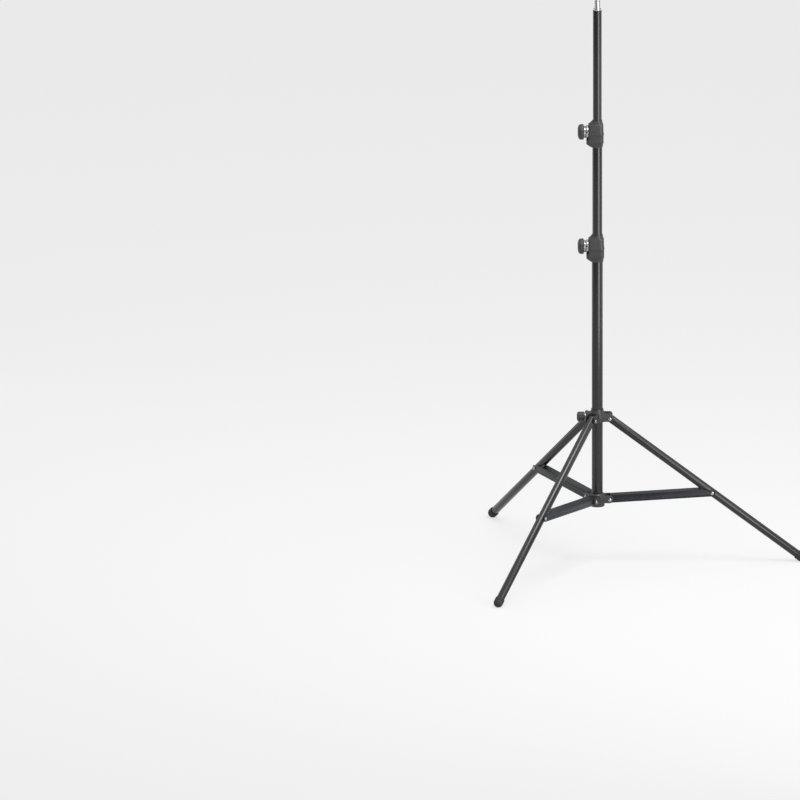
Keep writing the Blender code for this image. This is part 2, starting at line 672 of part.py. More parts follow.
def dome_points(radius, height):
    """A shallow dome from its rim to its top."""
    points = [(radius, 0), (radius, height * 0.25)]
    for degrees in (35, 65):
        angle = math.radians(degrees)
        points.append((radius * math.cos(angle), height * (0.25 + 0.75 * math.sin(angle))))
    return points + [(0, height)]


def rubber_foot(number, finish, parent, lean, top):
    """A rubber foot: stem in the tube, straight skirt and a ball end with a flat to stand on."""
    ball_r = FOOT_OD / 2
    stem_r = LEG_R - LEG_WALL - RUNNING_GAP
    rim = top - RUNNING_GAP
    centre = top - FOOT_BALL
    ball = [(radius, height) for radius, height in arc((0, centre), ball_r, -90, -14, 4)]
    profile = ball + [(ball_r, centre + FOOT_LIP), (ball_r, rim - FOOT_LIP), (ball_r - FOOT_LIP, rim),
                      (stem_r, rim), (stem_r, top + FOOT_STEM), (0, top + FOOT_STEM)]
    foot = piece(f"foot_{number}", turned(profile, LEG_SIDES), finish, parent, turn=lean)
    along = centre
    ball_z = along * math.cos(LEG_ANGLE)
    floor = ball_z - ball_r + FOOT_FLAT
    ball_x = -along * math.sin(LEG_ANGLE)
    reach = FOOT_OD
    slab = extruded([(-reach, -reach), (reach, -reach), (reach, 0), (-reach, 0)], 2 * reach)
    combine(foot, cutter(f"foot_{number}_floor", slab, parent, (ball_x, 0, floor)), "DIFFERENCE")


def build():
    """Makes the whole stand."""
    finishes = {
        "black_metal": material("black_metal", (0.11, 0.11, 0.12), 0.32, 0.8),
        "plastic": material("moulded_plastic", (0.13, 0.13, 0.135), 0.55, 0.0),
        "bright": material("bright_steel", (0.85, 0.85, 0.86), 0.22, 1.0),
        "steel": material("plated_steel", (0.70, 0.70, 0.71), 0.35, 1.0),
        "brass": material("brass", (0.78, 0.66, 0.38), 0.35, 1.0),
        "nylon": material("nylon", (0.80, 0.79, 0.75), 0.5, 0.0),
        "rubber": material("rubber", (0.05, 0.05, 0.05), 0.8, 0.0),
    }
    base = empty("base")
    column_tube("base_tube", BASE_R, PLUG_FLANGE, BASE_TUBE_TOP - RUNNING_GAP,
                finishes["black_metal"], base)
    tube_plug("base_plug", BASE_R, 0, finishes["plastic"], base)
    collar("base_collar", BASE_R, MIDDLE_R, finishes["plastic"], base, BASE_COLLAR_Z)
    lower_hub(finishes, empty("lower_hub_level", base, (0, 0, LOWER_PIVOT_Z)))

    middle = empty("middle_slide", base)
    middle_low = MIDDLE_TUBE_TOP - MIDDLE_TUBE_LENGTH
    column_tube("middle_tube", MIDDLE_R, middle_low, MIDDLE_TUBE_TOP - RUNNING_GAP,
                finishes["black_metal"], middle)
    tube_plug("middle_plug", MIDDLE_R, middle_low - PLUG_FLANGE, finishes["plastic"], middle)
    collar("middle_collar", MIDDLE_R, TOP_R, finishes["plastic"], middle, MIDDLE_COLLAR_Z)

    top = empty("top_slide", middle)
    top_low = TOP_TUBE_TOP - TOP_TUBE_LENGTH
    column_tube("top_tube", TOP_R, top_low, TOP_TUBE_TOP, finishes["black_metal"], top)
    tube_plug("top_plug", TOP_R, top_low - PLUG_FLANGE, finishes["plastic"], top)
    spigot_and_cap(finishes, top)

    sleeve = {"length": SLEEVE_LENGTH, "profile": clamp_sleeve}
    knob = {"od": KNOB_OD, "length": KNOB_LENGTH, "flutes": KNOB_FLUTES, "depth": KNOB_FLUTE_DEPTH}
    for name, tube_r, holder, low in (("base_clamp", MIDDLE_R, base, BASE_COLLAR_Z),
                                      ("middle_clamp", TOP_R, middle, MIDDLE_COLLAR_Z)):
        fixed = empty(name + "_fixed", holder, (0, 0, low + CLAMP_AXIS))
        moving = empty(name + "_turn", holder, (0, 0, low + CLAMP_AXIS))
        screw_stack(name, tube_r, BOSS_REACH, sleeve, knob, finishes, fixed, moving)

    slider = empty("hub_slide", base, (0, 0, UPPER_PIVOT_Z))
    upper_hub(finishes, slider, empty("lock_turn", slider, (0, 0, LOCK_RISE)))

    for number in range(1, LEG_COUNT + 1):
        angle = 2 * math.pi * (number - 1) / LEG_COUNT
        arm = empty(f"leg_plane_{number}", base, (0, 0, LOWER_PIVOT_Z), (0, 0, angle))
        brace_hinge = empty(f"brace_hinge_{number}", arm, (PIVOT_RADIUS, 0, 0))
        brace(number, finishes, brace_hinge)
        reach = (BRACE_LENGTH * math.sin(BRACE_ANGLE), 0, BRACE_LENGTH * math.cos(BRACE_ANGLE))
        leg(number, finishes, empty(f"leg_hinge_{number}", brace_hinge, reach))


clear_scene()
build()
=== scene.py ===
"""Dresses a folding light stand: column tubes, clamp collars, knobs, hubs, braces, legs and feet.

Metres, +Z up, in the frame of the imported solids. The column stands on the Z axis, one leg lies
along +X and the knobs point along -X.
"""
import json
import math

import bmesh
import bpy
from mathutils import Matrix, Vector


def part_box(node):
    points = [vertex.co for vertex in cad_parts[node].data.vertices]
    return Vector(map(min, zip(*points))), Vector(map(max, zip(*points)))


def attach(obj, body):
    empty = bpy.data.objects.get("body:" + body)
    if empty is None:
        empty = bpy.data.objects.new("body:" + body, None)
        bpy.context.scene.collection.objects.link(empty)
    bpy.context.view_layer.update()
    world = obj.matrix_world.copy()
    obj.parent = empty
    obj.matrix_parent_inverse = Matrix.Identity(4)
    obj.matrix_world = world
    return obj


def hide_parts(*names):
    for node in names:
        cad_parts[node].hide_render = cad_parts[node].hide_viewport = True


bl_info = {
    "name": "Folding Light Stand",
    "version": (1, 0, 0),
    "blender": (4, 5, 0),
    "location": "View3D > Sidebar > Light Stand",
    "description": "Builds the visible pieces of a three-section light stand on its packed frame",
    "category": "Add Mesh",
}

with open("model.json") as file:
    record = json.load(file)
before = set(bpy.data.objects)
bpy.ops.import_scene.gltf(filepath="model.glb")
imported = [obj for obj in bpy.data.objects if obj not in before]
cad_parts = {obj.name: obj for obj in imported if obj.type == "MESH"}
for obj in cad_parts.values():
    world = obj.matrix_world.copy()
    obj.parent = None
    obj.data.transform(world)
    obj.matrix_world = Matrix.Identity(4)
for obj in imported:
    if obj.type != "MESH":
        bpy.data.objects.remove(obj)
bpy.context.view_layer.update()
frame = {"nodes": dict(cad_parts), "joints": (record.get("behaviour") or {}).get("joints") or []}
JOINTS = {joint["name"]: joint for joint in frame["joints"]}

# Metres. Room between a leg and its brace's walls
LEG_ROOM = 0.0006
# From the sliding hub's pivot down to a leg tube's lower end
LEG_DOWN = 0.6385
# Where a brace's web starts, from its inner pivot
WEB_FROM = 0.0020
# Bore for a clamp screw in its sleeve and knob
SCREW_BORE_R = 0.0033
# From the column's axis to the flat that a screw enters
COLLAR_FACE = 0.0243
LOCK_FACE = 0.0316
# Half the length of what cuts the rivets' holes
HOLE_REACH = 0.030
# Edges that bend more than this are bevelled, or else shaded sharp
CRISP = math.radians(34)
# Lays what is turned about Z along Y
LYING = Matrix.Rotation(math.pi / 2, 4, "X")


def width(node):
    """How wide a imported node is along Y."""
    low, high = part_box(node)
    return high[1] - low[1]


def middle(node):
    """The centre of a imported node's box."""
    low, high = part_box(node)
    return (Vector(low) + Vector(high)) / 2


def length_property(name, text, default):
    """A size in metres with a millimetre step in the panel."""
    return bpy.props.FloatProperty(name=name, description=text, default=default, min=0.0, soft_max=2.0,
                                   precision=4, unit="LENGTH", subtype="DISTANCE")


def colour_property(name, text, default):
    """A colour as sRGB hex."""
    return bpy.props.StringProperty(name=name, description=text, default=default)


class StandSizes(bpy.types.PropertyGroup):
    """Sizes that the pieces share."""
    base_tube_r: length_property("Base tube radius", "Outside of the lowest tube", width("base_tube") / 2)
    middle_tube_r: length_property("Middle tube radius", "Outside of the middle tube",
                                   width("middle_tube") / 2)
    top_tube_r: length_property("Top tube radius", "Outside of the top tube", width("top_tube") / 2)
    leg_r: length_property("Leg radius", "Outside of a leg tube", width("leg_tube_1") / 2)
    wall: length_property("Tube wall", "Thickness of every tube", 0.0012)
    gap: length_property("Running gap", "Gap between pieces that move on each other", 0.0003)
    edge: length_property("Edge", "Rounding of moulded and pressed edges", 0.0005)
    sheet: length_property("Sheet", "Thickness of a brace's steel", 0.0014)
    ear: length_property("Ear", "Thickness of a hub's ear", 0.0031)
    hub_r: length_property("Hub radius", "Outside of both hubs' sleeves", 0.0200)
    rivet_r: length_property("Rivet radius", "Shank of the rivets", 0.0024)
    rivet_head_r: length_property("Rivet head radius", "Head of the rivets", 0.0047)
    rivet_head: length_property("Rivet head", "Height of a rivet's head", 0.0022)
    sides: bpy.props.IntProperty(name="Sides", description="Faces round a tube", default=96, min=16)


class StandColours(bpy.types.PropertyGroup):
    """Colours as sRGB hex."""
    tube: colour_property("Tube", "Satin black anodised tube", "#1e1e20")
    plastic: colour_property("Plastic", "Moulded black nylon", "#222224")
    pressed: colour_property("Braces", "Black enamelled steel", "#15171b")
    bright: colour_property("Bright metal", "Nickel plate", "#a6a6a4")
    zinc: colour_property("Screws", "Zinc plate", "#b9bbbd")
    brass: colour_property("Inserts", "Turned brass", "#c8a862")
    pad: colour_property("Pads", "Natural nylon", "#d8d4c6")
    rubber: colour_property("Feet", "Black rubber", "#1d1d1d")
    worn: colour_property("Wear", "Where the clamps' pads rub the tubes", "#6c6c6e")
    chip: colour_property("Chips", "Bare steel in the braces' enamel", "#7d7f84")
    floor: colour_property("Floor", "Pale studio floor", "#ececec")
    floor_seen: colour_property("Floor seen", "The floor as eyes and mirrors see it", "#ebebeb")
    room: colour_property("Room", "Light from the room", "#f4f4f4")


class StageSettings(bpy.types.PropertyGroup):
    """Where the camera stands, what it looks at and how wide."""
    azimuth: bpy.props.FloatProperty(name="Azimuth", description="Camera's turn about the column",
                                     default=math.radians(-0.9), subtype="ANGLE", unit="ROTATION")
    elevation: bpy.props.FloatProperty(name="Elevation", description="Camera's height above level",
                                       default=math.radians(14.8), subtype="ANGLE", unit="ROTATION")
    view_width: length_property("View width", "Width of the square view", 2.176)
    target_x: bpy.props.FloatProperty(name="Target X", description="What the view is centred on",
                                      default=-0.5367, unit="LENGTH")
    target_z: bpy.props.FloatProperty(name="Target Z", description="What the view is centred on",
                                      default=0.3005, unit="LENGTH")


def sizes():
    """The shared sizes."""
    return bpy.context.scene.stand_sizes


def colours():
    """The shared colours."""
    return bpy.context.scene.stand_colours


def linear(code):
    """An sRGB hex colour as linear RGBA."""
    parts = [int(code[at:at + 2], 16) / 255 for at in (1, 3, 5)]
    return (*[c / 12.92 if c <= 0.04045 else ((c + 0.055) / 1.055) ** 2.4 for c in parts], 1.0)


def add(tree, kind, sockets=None, **settings):
    """Adds a node, sets its properties, and sets or links its inputs by name or number."""
    made = tree.nodes.new(kind)
    for key, value in settings.items():
        setattr(made, key, value)
    for key, value in (sockets or {}).items():
        socket = made.inputs[key]
        if isinstance(value, bpy.types.NodeSocket):
            tree.links.new(value, socket)
        else:
            socket.default_value = value
    return made


def new_material(name):
    """An empty material with its Principled shader."""
    made = bpy.data.materials.new(name)
    made.use_nodes = True
    return made, made.node_tree, made.node_tree.nodes["Principled BSDF"]


def grained(tree, shader, colour, spread, grain, depth, rough, stretch=(1, 1, 1)):
    """Colour, roughness and bump from one noise whose grain is in metres, under broad clouds."""
    clouds = 0.05
    band = {"From Min": 0.7, "From Max": 1.3}
    place = add(tree, "ShaderNodeTexCoord").outputs["Object"]
    place = add(tree, "ShaderNodeMapping", {"Vector": place, "Scale": stretch}).outputs[0]
    noise = add(tree, "ShaderNodeTexNoise", {"Vector": place, "Scale": 1 / grain, "Detail": 4.0,
                                             "Roughness": 0.55})
    cloud = add(tree, "ShaderNodeTexNoise", {"Vector": place, "Scale": clouds / grain, "Detail": 2.0})
    both = add(tree, "ShaderNodeMath", {0: noise.outputs["Fac"], 1: cloud.outputs["Fac"]},
               operation="ADD").outputs[0]
    shade = add(tree, "ShaderNodeMapRange", {"Value": both, **band, "To Min": 1 - spread,
                                             "To Max": 1 + spread}).outputs[0]
    tint = add(tree, "ShaderNodeVectorMath", {0: linear(colour)[:3], 3: shade}, operation="SCALE")
    tree.links.new(tint.outputs[0], shader.inputs["Base Color"])
    gloss = add(tree, "ShaderNodeMapRange", {"Value": both, **band, "To Min": rough[0],
                                             "To Max": rough[1]}).outputs[0]
    tree.links.new(gloss, shader.inputs["Roughness"])
    bump = add(tree, "ShaderNodeBump", {"Strength": 1.0, "Distance": depth,
                                        "Height": noise.outputs["Fac"]})
    tree.links.new(bump.outputs[0], shader.inputs["Normal"])
    return place, tint.outputs[0]


def anodised(name, rough):
    """A dyed oxide on aluminium that lets a little of the metal through."""
    made, tree, shader = new_material(name)
    shader.inputs["Metallic"].default_value = 0.20
    # Drawing lines run along the tube, about 0.4 mm apart and far longer than wide
    place, tint = grained(tree, shader, colours().tube, spread=0.10, grain=0.0012, depth=0.00001,
                          rough=rough, stretch=(1, 1, 0.04))
    return made, tree, shader, place, tint


def black_anodised_tube():
    """Black anodised drawn aluminium: a satin black that shows long soft highlights."""
    return anodised("black_anodised_aluminium", (0.19, 0.26))[0]


def rubbed_anodised_tube():
    """The same anodising where a tube slides in its collar, with a dull line from the clamp's pad."""
    made, tree, shader, place, tint = anodised("black_anodised_aluminium_sliding", (0.17, 0.24))
    axes = add(tree, "ShaderNodeSeparateXYZ", {0: place})
    across = add(tree, "ShaderNodeMath", {0: axes.outputs["Y"]}, operation="ABSOLUTE").outputs[0]
    # The pad is 9 mm across but bears on a line about 2 mm wide
    line = add(tree, "ShaderNodeMapRange", {"Value": across, "From Min": 0.0006, "From Max": 0.0022,
                                            "To Min": 1.0, "To Max": 0.0}, interpolation_type="SMOOTHSTEP")
    side = add(tree, "ShaderNodeMath", {0: axes.outputs["X"], 1: 0.0}, operation="LESS_THAN")
    streak = add(tree, "ShaderNodeTexNoise", {"Vector": place, "Scale": 420.0, "Detail": 3.0})
    worn = add(tree, "ShaderNodeMath", {0: line.outputs[0], 1: side.outputs[0]}, operation="MULTIPLY")
    worn = add(tree, "ShaderNodeMath", {0: worn.outputs[0], 1: streak.outputs["Fac"]},
               operation="MULTIPLY")
    mixed = add(tree, "ShaderNodeMix", {0: worn.outputs[0], 6: tint, 7: linear(colours().worn)},
                data_type="RGBA")
    tree.links.new(mixed.outputs[2], shader.inputs["Base Color"])
    return made


def moulded_nylon():
    """Glass-filled nylon with a spark-eroded mould grain: black, dull, faintly mottled."""
    made, tree, shader = new_material("moulded_glass_filled_nylon")
    # The mould's grain is about 0.5 mm, drawn a little coarser so that it shows
    grained(tree, shader, colours().plastic, spread=0.12, grain=0.0007, depth=0.00003,
            rough=(0.40, 0.52))
    return made


def enamelled_steel():
    """Pressed steel under black enamel: smoother than the tubes, slightly blue, with tiny chips."""
    made, tree, shader = new_material("black_enamelled_steel")
    place, tint = grained(tree, shader, colours().pressed, spread=0.10, grain=0.0030, depth=0.00002,
                          rough=(0.30, 0.42))
    cells = add(tree, "ShaderNodeTexVoronoi", {"Vector": place, "Scale": 90.0})
    # Chips of 0.5 mm or so, one every 11 mm
    chip = add(tree, "ShaderNodeMapRange", {"Value": cells.outputs["Distance"], "From Min": 0.03,
                                            "From Max": 0.05, "To Min": 0.35, "To Max": 0.0})
    mixed = add(tree, "ShaderNodeMix", {0: chip.outputs[0], 6: tint, 7: linear(colours().chip)},
                data_type="RGBA")
    tree.links.new(mixed.outputs[2], shader.inputs["Base Color"])
    shader.inputs["Specular IOR Level"].default_value = 0.35
    return made


def nickel_plate():
    """Bright nickel on turned steel: a mirror with faint turning lines."""
    made, tree, shader = new_material("bright_nickel_plate")
    shader.inputs["Metallic"].default_value = 1.0
    grained(tree, shader, colours().bright, spread=0.03, grain=0.0015, depth=0.000001,
            rough=(0.12, 0.18))
    return made


def zinc_plate():
    """Zinc-plated screw steel: grey, a little cloudy."""
    made, tree, shader = new_material("zinc_plated_steel")
    shader.inputs["Metallic"].default_value = 1.0
    grained(tree, shader, colours().zinc, spread=0.08, grain=0.0020, depth=0.00001,
            rough=(0.28, 0.42))
    return made


def turned_brass():
    """Turned brass inserts: yellow, fine lines."""
    made, tree, shader = new_material("turned_brass")
    shader.inputs["Metallic"].default_value = 1.0
    grained(tree, shader, colours().brass, spread=0.06, grain=0.0008, depth=0.00001,
            rough=(0.25, 0.38))
    return made


def natural_nylon():
    """Unpigmented nylon pads: waxy off-white."""
    made, tree, shader = new_material("natural_nylon")
    shader.inputs["Subsurface Weight"].default_value = 0.1
    shader.inputs["Subsurface Scale"].default_value = 0.001
    grained(tree, shader, colours().pad, spread=0.05, grain=0.0010, depth=0.00001,
            rough=(0.40, 0.50))
    return made


def foot_rubber():
    """Moulded black rubber: dull, with a dusty bloom."""
    made, tree, shader = new_material("moulded_black_rubber")
    grained(tree, shader, colours().rubber, spread=0.22, grain=0.0010, depth=0.00005,
            rough=(0.68, 0.85))
    return made


FINISHES = {}
MAKERS = {
    "tube": black_anodised_tube,
    "sliding tube": rubbed_anodised_tube,
    "plastic": moulded_nylon,
    "pressed": enamelled_steel,
    "bright": nickel_plate,
    "zinc": zinc_plate,
    "brass": turned_brass,
    "pad": natural_nylon,
    "rubber": foot_rubber,
}


def finish_of(name):
    """A finish, made the first time it is asked for."""
    if name not in FINISHES:
        FINISHES[name] = MAKERS[name]()
    return FINISHES[name]


def arc(centre, radius, start, end, steps):
    """Points along an arc in degrees, both ends included."""
    points = []
    for step in range(steps + 1):
        angle = math.radians(start + (end - start) * step / steps)
        points.append((centre[0] + radius * math.cos(angle), centre[1] + radius * math.sin(angle)))
    return points


def eased(profile, radius, closed=False, steps=3):
    """Rounds the corners of a profile. An open one keeps its two ends."""
    straight = math.radians(12)
    most_of_side = 0.45
    points = [Vector(point) for point in profile]
    count = len(points)
    result = []
    for at, point in enumerate(points):
        if not closed and at in (0, count - 1):
            result.append(tuple(point))
            continue
        before = points[at - 1] - point
        after = points[(at + 1) % count] - point
        if before.angle(-after, 0.0) < straight:
            result.append(tuple(point))
            continue
        start = point + before.normalized() * min(radius, before.length * most_of_side)
        end = point + after.normalized() * min(radius, after.length * most_of_side)
        for step in range(steps + 1):
            share = step / steps
            result.append(tuple(start * (1 - share) ** 2 + point * 2 * share * (1 - share)
                                + end * share ** 2))
    return result


def turned(profile, sides, closed=False):
    """Spins (radius, height) points about Z. A closed profile gives a ring."""
    form = bmesh.new()
    points = [form.verts.new((max(radius, 0.0), 0, height)) for radius, height in profile]
    edges = [form.edges.new(pair) for pair in zip(points, points[1:])]
    if closed:
        edges.append(form.edges.new((points[-1], points[0])))
    bmesh.ops.spin(form, geom=points + edges, cent=(0, 0, 0), axis=(0, 0, 1), dvec=(0, 0, 0),
                   angle=2 * math.pi, steps=sides, use_duplicate=False, use_merge=True)
    bmesh.ops.remove_doubles(form, verts=form.verts, dist=1e-7)
    return form


def rod(radius, low, high, sides):
    """A plain round bar about Z."""
    return turned([(0, low), (radius, low), (radius, high), (0, high)], sides)


def pin_hole(reach=HOLE_REACH):
    """What cuts the hole for a rivet or a pin, about Z."""
    return rod(sizes().rivet_r + sizes().gap, -reach, reach, 24)


def dome(radius, low, height, step):
    """Points up a dome from its rim, every so many degrees, short of its middle."""
    return [(radius * math.cos(math.radians(a)), low + height * math.sin(math.radians(a)))
            for a in range(0, 90, step)]


def extruded(outline, breadth):
    """An outline in the XZ plane given a breadth along Y, half to each side."""
    form = bmesh.new()
    face = form.faces.new([form.verts.new((x, -breadth / 2, z)) for x, z in outline])
    raised = bmesh.ops.extrude_face_region(form, geom=[face])
    moved = [item for item in raised["geom"] if isinstance(item, bmesh.types.BMVert)]
    bmesh.ops.translate(form, verts=moved, vec=(0, breadth, 0))
    return form


def placed(form, *matrices):
    """Moves a bmesh by matrices, the last one first."""
    whole = Matrix()
    for matrix in matrices:
        whole = whole @ matrix
    bmesh.ops.transform(form, matrix=whole, verts=form.verts)
    return form


def joined(*forms):
    """Several bodies in one bmesh."""
    whole = bmesh.new()
    for form in forms:
        mesh = as_mesh(form)
        whole.from_mesh(mesh)
        bpy.data.meshes.remove(mesh)
    return whole


def as_mesh(form):
    """A bmesh as a mesh whose faces point outwards."""
    bmesh.ops.recalc_face_normals(form, faces=form.faces)
    mesh = bpy.data.meshes.new("form")
    form.to_mesh(mesh)
    form.free()
    return mesh


def linked(name, data):
    """A new object in the scene."""
    made = bpy.data.objects.new(name, data)
    bpy.context.collection.objects.link(made)
    return made


def discarded(*items):
    """Deletes work objects and their meshes."""
    for item in items:
        mesh = item.data
        bpy.data.objects.remove(item, do_unlink=True)
        bpy.data.meshes.remove(mesh)


def evaluated(target):
    """The mesh that an object's modifiers give."""
    bpy.context.view_layer.update()
    graph = bpy.context.evaluated_depsgraph_get()
    return bpy.data.meshes.new_from_object(target.evaluated_get(graph))


def carved(form, steps, bevel=0.0):
    """A solid after Booleans with others, with its sharp edges rounded."""
    target = linked("work", as_mesh(form))
    helpers = []
    for operation, other in steps:
        helper = linked("work tool", as_mesh(other))
        helpers.append(helper)
        change = target.modifiers.new("cut", "BOOLEAN")
        change.object = helper
        change.operation = operation
        # This solver gives the same mesh on every run
        change.solver = "MANIFOLD"
    if bevel:
        weld = target.modifiers.new("weld", "WELD")
        weld.merge_threshold = 0.00002
        rounding = target.modifiers.new("round", "BEVEL")
        rounding.width = bevel
        rounding.segments = 2
        rounding.limit_method = "ANGLE"
        rounding.angle_limit = CRISP
    mesh = evaluated(target)
    discarded(target, *helpers)
    return mesh


def piece(name, mesh, finish, body, nodes):
    """Links a finished mesh, hangs it on the body it rides on, hides the imported nodes it stands for and
    gives it its finish.
    """
    mesh.name = name
    mesh.materials.clear()
    mesh.materials.append(finish_of(finish))
    mesh.shade_smooth()
    mesh.set_sharp_from_angle(angle=CRISP)
    made = linked(name, mesh)
    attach(made, body)
    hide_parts(*nodes)


def copies_tree():
    """Geometry Nodes that turn copies of a mesh about the column, evenly spaced."""
    tree = bpy.data.node_groups.new("Copies round the column", "GeometryNodeTree")
    face = tree.interface
    face.new_socket("Geometry", in_out="INPUT", socket_type="NodeSocketGeometry")
    face.new_socket("Count", in_out="INPUT", socket_type="NodeSocketInt")
    face.new_socket("Finish", in_out="INPUT", socket_type="NodeSocketMaterial")
    face.new_socket("Geometry", in_out="OUTPUT", socket_type="NodeSocketGeometry")
    given = add(tree, "NodeGroupInput").outputs
    points = add(tree, "GeometryNodeMeshLine", {"Count": given["Count"], "Offset": (0, 0, 0)})
    index = add(tree, "GeometryNodeInputIndex").outputs[0]
    share = add(tree, "ShaderNodeMath", {0: index, 1: given["Count"]}, operation="DIVIDE").outputs[0]
    angle = add(tree, "ShaderNodeMath", {0: share, 1: 2 * math.pi}, operation="MULTIPLY").outputs[0]
    euler = add(tree, "ShaderNodeCombineXYZ", {"Z": angle}).outputs[0]
    turn = add(tree, "FunctionNodeEulerToRotation", {0: euler}).outputs[0]
    spread = add(tree, "GeometryNodeInstanceOnPoints", {"Points": points.outputs[0],
                                                        "Instance": given["Geometry"],
                                                        "Rotation": turn}).outputs[0]
    real = add(tree, "GeometryNodeRealizeInstances", {0: spread}).outputs[0]
    coated = add(tree, "GeometryNodeSetMaterial", {"Geometry": real, "Material": given["Finish"]})
    add(tree, "NodeGroupOutput", {0: coated.outputs[0]})
    return tree


def copied_round(form, count, finish):
    """A mesh of evenly spaced copies of a form about the column, made with Geometry Nodes."""
    tree = bpy.data.node_groups.get("Copies round the column") or copies_tree()
    target = linked("work", as_mesh(form))
    change = target.modifiers.new("copies", "NODES")
    change.node_group = tree
    named = {item.name: item.identifier for item in tree.interface.items_tree
             if item.in_out == "INPUT"}
    change[named["Count"]] = count
    change[named["Finish"]] = finish_of(finish)
    mesh = evaluated(target)
    discarded(target)
    return mesh


def tube_form(radius, low, high, sides):
    """A tube with softened rims."""
    rim_edge = 0.0004
    inner = radius - sizes().wall
    profile = [(radius, low), (radius, high), (inner, high), (inner, low)]
    return turned(eased(profile, rim_edge, closed=True, steps=2), sides, closed=True)


def leg_turn(number):
    """Turns the leg on +X to its place round the column."""
    return Matrix.Rotation(2 * math.pi * (number - 1) / 3, 4, "Z")


def lower_pivot():
    """Where the first brace turns on the foot hub."""
    return Vector(JOINTS["brace_hinge_1"]["pos_m"])


def brace_pivot():
    """Where the first leg turns on its brace."""
    return Vector(JOINTS["leg_hinge_1"]["pos_m"])


def upper_pivot():
    """Where the first leg turns on the sliding hub."""
    pin = middle("leg_pin_1_left")
    return Vector((pin.x, 0, pin.z))


def leg_rise():
    """From a leg's rivet up to its pivot on the sliding hub."""
    return (upper_pivot() - brace_pivot()).length


def brace_span():
    """From the foot hub's rivet out to the leg's."""
    return (brace_pivot() - lower_pivot()).length


def brace_half():
    """Half the breadth of a brace."""
    return sizes().leg_r + LEG_ROOM + sizes().sheet


def leg_place(number):
    """Local Z runs up the leg from the brace's rivet."""
    along = upper_pivot() - brace_pivot()
    lean = Matrix.Rotation(math.atan2(along.x, along.z), 4, "Y")
    return leg_turn(number) @ Matrix.Translation(brace_pivot()) @ lean


def brace_place(number):
    """Local X runs out along the brace from the foot hub's rivet."""
    along = brace_pivot() - lower_pivot()
    lean = Matrix.Rotation(-math.atan2(along.z, along.x), 4, "Y")
    return leg_turn(number) @ Matrix.Translation(lower_pivot()) @ lean


def screw_place(height):
    """Local Z runs out along -X from the column's axis at a height."""
    return Matrix.Translation((0, 0, height)) @ Matrix.Rotation(-math.pi / 2, 4, "Y")


class STAND_OT_column_tubes(bpy.types.Operator):
    """Draws the column's three tubes with softened rims"""
    bl_idname = "light_stand.column_tubes"
    bl_label = "Column Tubes"

    def execute(self, context):
        s = sizes()
        for node, body, radius, finish in (("base_tube", "base", s.base_tube_r, "tube"),
                                           ("middle_tube", "middle", s.middle_tube_r, "sliding tube"),
                                           ("top_tube", "top", s.top_tube_r, "sliding tube")):
            low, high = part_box(node)
            mesh = as_mesh(tube_form(radius, low[2], high[2], s.sides))
            piece(f"{body}_drawn_tube", mesh, finish, body, [node])
        return {"FINISHED"}


def block_ring(height, left, right, half, roundness):
    """One level of a collar: a rectangle with rounded corners, or a circle where roundness is 1."""
    corner = 0.0100
    near_corner = 0.0040
    far = corner + (half - corner) * roundness
    near = near_corner + (half - near_corner) * roundness
    corners = ((right - far, half - far, far, 0), (left + near, half - near, near, 90),
               (left + near, near - half, near, 180), (right - far, far - half, far, 270))
    quarter = sizes().sides // 4
    ring = []
    for x, y, radius, start in corners:
        for step in range(quarter):
            angle = math.radians(start + 90 * (step + 0.5) / quarter)
            ring.append((x + radius * math.cos(angle), y + radius * math.sin(angle), height))
    return ring


def lofted(rings):
    """A closed solid through rings of points, from the lowest to the highest."""
    form = bmesh.new()
    loops = [[form.verts.new(point) for point in ring] for ring in rings]
    count = len(rings[0])
    for lower, upper in zip(loops, loops[1:]):
        for side in range(count):
            after = (side + 1) % count
            form.faces.new((lower[side], lower[after], upper[after], upper[side]))
    form.faces.new(loops[0])
    form.faces.new(loops[-1])
    return form


def collar_rings(low, outer_r, inner_r):
    """Levels of a collar: hollow foot, boss with its ledge, rib, shoulder and upper flare."""
    gap = sizes().gap
    thin = 0.0011
    body = outer_r + 0.0036
    slim = body - 0.0008
    lip = outer_r + gap + thin
    rim = inner_r + gap + thin
    rib = body + 0.0008
    rib_low, rib_middle, rib_high, rib_half = 0.0357, 0.0375, 0.0393, 0.0018
    face, ledge = -COLLAR_FACE, -0.0298
    ledge_top, boss_foot = 0.0222, 0.0230
    foot, swell_top, shoulder, top = 0.0100, 0.0130, 0.0635, 0.0765
    rings = []
    for step in range(14):
        height = swell_top * (step / 13) ** 1.3
        jut = min(height / foot, 1) ** 0.65
        swell = (height / swell_top) ** 2
        side = lip + (body - lip) * swell
        rings.append(block_ring(low + height, -lip + (ledge + lip) * jut, side, side, 1 - swell))
    rings += [block_ring(low + ledge_top, ledge, body, body, 0),
              block_ring(low + boss_foot, face, body, body, 0),
              block_ring(low + rib_low, face, body, body, 0)]
    # The rib is a half round, flattened to 0.8 mm
    for step in range(1, 10):
        angle = math.pi * step / 10
        out = body + (rib - body) * math.sin(angle) ** 0.7
        rings.append(block_ring(low + rib_middle - rib_half * math.cos(angle), face, out, out, 0))
    rings.append(block_ring(low + rib_high, face, body, body, 0))
    for step in range(15):
        share = step / 14
        side = rim + (slim - rim) * (1 - share) ** 2
        left = -rim + (face + rim) * (1 - share) ** 1.2
        rings.append(block_ring(low + shoulder + (top - shoulder) * share, left, side, side,
                                share ** 0.5))
    return rings


